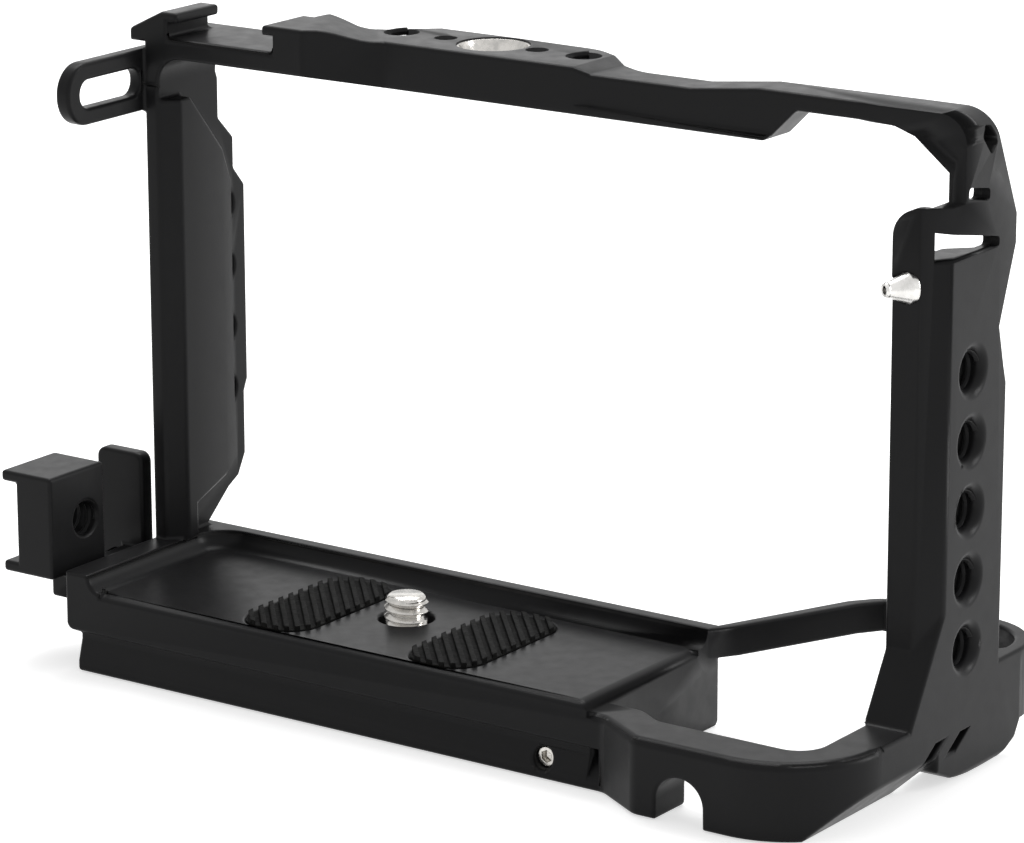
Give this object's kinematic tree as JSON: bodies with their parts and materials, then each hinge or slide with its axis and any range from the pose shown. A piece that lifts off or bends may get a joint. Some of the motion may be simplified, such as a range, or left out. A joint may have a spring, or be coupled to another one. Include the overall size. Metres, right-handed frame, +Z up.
{
  "type": "camera cage",
  "caption": "Black metal cage for a mirrorless camera, with a tray and camera screw, grip loop, side plates, accessory shoe, cable clamp and strap lug.",
  "frame": {"origin": "on the axis of the camera screw, at the level of the tray floor that the camera stands on", "axes": "+X along the tray towards the hand grip side, +Y towards the lens side, +Z up along the camera screw"},
  "size_m": [0.1412, 0.061, 0.0922],
  "materials": {
    "anodised": "satin black anodised",
    "steel": "turned, semi-bright",
    "rubber": "moulded, matt"
  },
  "bodies": {
    "cage": {"frame_base": "anodised", "frame_loop_near": "anodised", "frame_loop_side": "anodised", "frame_loop_rail": "anodised", "frame_right_post": "anodised", "frame_top_bar": "anodised", "frame_shoe": "anodised", "frame_strap_lug": "anodised", "frame_left_plate": "anodised", "cable_bracket": "anodised", "pad_left": "rubber", "pad_right": "rubber", "screw_circlip": "steel", "dovetail_stop_screw": "steel", "top_insert": "steel", "bracket_screw_near": "steel", "bracket_screw_far": "steel"},
    "screw_carrier": {"screw_washer": "steel"},
    "screw": {"camera_screw": "steel"},
    "lug_lock": {"lug_lock_screw": "steel"}
  },
  "joints": [
    {"name": "screw_lift", "type": "slide", "parent": "cage", "child": "screw_carrier", "axis": [0, 0, 1], "range_m": [0, 0.0022]},
    {"name": "screw_turn", "type": "hinge", "parent": "screw_carrier", "child": "screw", "pos_m": [0, 0, 0], "axis": [0, 0, 1], "continuous": true},
    {"name": "lug_lock_turn", "type": "hinge", "parent": "cage", "child": "lug_lock", "pos_m": [0.0756, 0.006, 0.0566], "axis": [-0.5, -0.866, 0], "range_deg": [0, 1080]}
  ]
}
